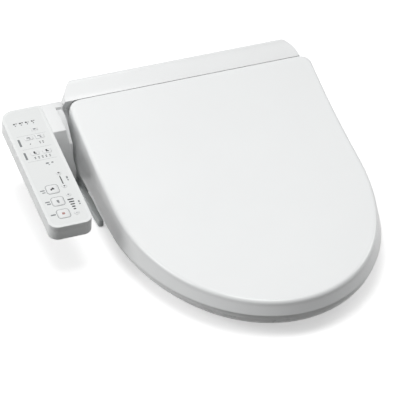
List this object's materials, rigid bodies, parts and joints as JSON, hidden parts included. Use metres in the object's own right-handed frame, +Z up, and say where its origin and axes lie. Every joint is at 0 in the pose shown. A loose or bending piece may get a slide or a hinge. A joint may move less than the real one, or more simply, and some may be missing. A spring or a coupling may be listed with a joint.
{
  "type": "electric bidet seat",
  "caption": "Toilet seat with warm-water wash: a sloping lid over a heated ring seat, a rear case with nozzle and tank, and a control panel on a side arm.",
  "frame": {"origin": "midway between the two mounting holes, on the plane of the bowl's rim", "axes": "+X to the seated user's left (away from the panel), -Y towards the nose of the seat, +Z up"},
  "size_m": [0.494, 0.525, 0.1475],
  "materials": {
    "white_lid": "gloss",
    "white_case": "satin gloss",
    "grey_tray": "matte",
    "steel": "satin",
    "rubber_grey": "matte",
    "clear_tank": "satin",
    "soft_hose": "satin",
    "white_nozzle": "gloss",
    "dark_plastic": "matte",
    "green_board": "satin",
    "heating_foil": "satin",
    "panel_film": "satin",
    "button_white": "satin"
  },
  "bodies": {
    "bracket": {"mounting_bracket": "steel"},
    "seat": {"seat_top": "white_lid", "seat_base": "white_lid", "seat_heater": "heating_foil", "seat_hinge_lugs": "white_lid", "seat_bumpers": "rubber_grey"},
    "lid": {"lid_shell": "white_lid", "lid_hinge_lugs": "white_lid", "lid_bumpers": "rubber_grey"},
    "nozzle": {"nozzle_arm": "white_nozzle", "nozzle_tip": "white_nozzle"},
    "pinion": {"drive_pinion": "white_nozzle"},
    "fan": {"fan_rotor": "dark_plastic"},
    "release": {"release_button": "white_case", "release_latch": "grey_tray"},
    "stop_key": {"stop_button": "button_white"},
    "rear_wash_key": {"rear_wash_button": "button_white"},
    "front_wash_key": {"front_wash_button": "button_white"},
    "pressure_up_key": {"pressure_up_button": "button_white"},
    "pressure_down_key": {"pressure_down_button": "button_white"},
    "nozzle_forward_key": {"nozzle_forward_button": "button_white"},
    "nozzle_back_key": {"nozzle_back_button": "button_white"},
    "power_save_key": {"power_save_button": "button_white"},
    "nozzle_clean_key": {"nozzle_clean_button": "button_white"},
    "deodorizer_key": {"deodorizer_button": "button_white"},
    "water_heat_key": {"water_heat_button": "button_white"},
    "seat_heat_key": {"seat_heat_button": "button_white"},
    "unit": {"base_tray": "grey_tray", "rear_case": "white_case", "nozzle_housing": "white_case", "water_inlet": "steel", "inlet_valve": "grey_tray", "water_tank": "clear_tank", "tank_heater": "steel", "float_switch": "dark_plastic", "water_hoses": "soft_hose", "nozzle_guide": "grey_tray", "nozzle_motor": "steel", "power_board": "green_board", "board_components": "dark_plastic", "transformer": "dark_plastic", "deodorizer_duct": "grey_tray", "deodorizer_filter": "dark_plastic", "fan_motor": "steel", "hinge_pins": "steel", "seat_damper": "dark_plastic", "lid_damper": "dark_plastic", "case_screws": "steel", "tray_feet": "rubber_grey", "panel_arm": "white_case", "panel_base": "white_case", "panel_cover": "white_case", "panel_sheet": "panel_film", "panel_board": "green_board", "panel_lamps": "grey_tray", "panel_screws": "steel", "cord_gland": "rubber_grey"}
  },
  "joints": [
    {"name": "unit_slide", "type": "slide", "parent": "bracket", "child": "unit", "axis": [0, -1, 0], "range_m": [0, 0.045]},
    {"name": "seat_hinge", "type": "hinge", "parent": "unit", "child": "seat", "pos_m": [0, -0.006, 0.116], "axis": [1, 0, 0], "range_deg": [-105, 0]},
    {"name": "lid_hinge", "type": "hinge", "parent": "seat", "child": "lid", "pos_m": [0, -0.006, 0.116], "axis": [-1, 0, 0], "range_deg": [0, 110]},
    {"name": "nozzle_slide", "type": "slide", "parent": "unit", "child": "nozzle", "axis": [0, -0.9781, -0.2079], "range_m": [0, 0.075]},
    {"name": "pinion_spin", "type": "hinge", "parent": "unit", "child": "pinion", "pos_m": [0, -0.03741, 0.05355], "axis": [-1, 0, 0], "range_deg": [-1, 725]},
    {"name": "fan_spin", "type": "hinge", "parent": "unit", "child": "fan", "pos_m": [0.135, 0.012, 0.046], "axis": [0, 0, 1], "continuous": true},
    {"name": "release_press", "type": "slide", "parent": "unit", "child": "release", "axis": [-1, 0, 0], "range_m": [0, 0.004], "stiffness_N_per_m": 600, "springref_m": -0.003},
    {"name": "stop_press", "type": "slide", "parent": "unit", "child": "stop_key", "axis": [0, 0.1444, -0.9895], "range_m": [0, 0.0008], "stiffness_N_per_m": 1500, "springref_m": -0.0006},
    {"name": "rear_wash_press", "type": "slide", "parent": "unit", "child": "rear_wash_key", "axis": [0, 0.1444, -0.9895], "range_m": [0, 0.0008], "stiffness_N_per_m": 1500, "springref_m": -0.0006},
    {"name": "front_wash_press", "type": "slide", "parent": "unit", "child": "front_wash_key", "axis": [0, 0.1444, -0.9895], "range_m": [0, 0.0008], "stiffness_N_per_m": 1500, "springref_m": -0.0006},
    {"name": "pressure_up_press", "type": "slide", "parent": "unit", "child": "pressure_up_key", "axis": [0, 0.1444, -0.9895], "range_m": [0, 0.0008], "stiffness_N_per_m": 1500, "springref_m": -0.0006},
    {"name": "pressure_down_press", "type": "slide", "parent": "unit", "child": "pressure_down_key", "axis": [0, 0.1444, -0.9895], "range_m": [0, 0.0008], "stiffness_N_per_m": 1500, "springref_m": -0.0006},
    {"name": "nozzle_forward_press", "type": "slide", "parent": "unit", "child": "nozzle_forward_key", "axis": [0, 0.1444, -0.9895], "range_m": [0, 0.0008], "stiffness_N_per_m": 1500, "springref_m": -0.0006},
    {"name": "nozzle_back_press", "type": "slide", "parent": "unit", "child": "nozzle_back_key", "axis": [0, 0.1444, -0.9895], "range_m": [0, 0.0008], "stiffness_N_per_m": 1500, "springref_m": -0.0006},
    {"name": "power_save_press", "type": "slide", "parent": "unit", "child": "power_save_key", "axis": [0, 0.1444, -0.9895], "range_m": [0, 0.0008], "stiffness_N_per_m": 1500, "springref_m": -0.0006},
    {"name": "nozzle_clean_press", "type": "slide", "parent": "unit", "child": "nozzle_clean_key", "axis": [0, 0.1444, -0.9895], "range_m": [0, 0.0008], "stiffness_N_per_m": 1500, "springref_m": -0.0006},
    {"name": "deodorizer_press", "type": "slide", "parent": "unit", "child": "deodorizer_key", "axis": [0, 0.1444, -0.9895], "range_m": [0, 0.0008], "stiffness_N_per_m": 1500, "springref_m": -0.0006},
    {"name": "water_heat_press", "type": "slide", "parent": "unit", "child": "water_heat_key", "axis": [0, 0.1444, -0.9895], "range_m": [0, 0.0008], "stiffness_N_per_m": 1500, "springref_m": -0.0006},
    {"name": "seat_heat_press", "type": "slide", "parent": "unit", "child": "seat_heat_key", "axis": [0, 0.1444, -0.9895], "range_m": [0, 0.0008], "stiffness_N_per_m": 1500, "springref_m": -0.0006}
  ],
  "couplings": [
    {"joint": "pinion_spin", "follows": "nozzle_slide", "rad_per_m": 166.67}
  ]
}
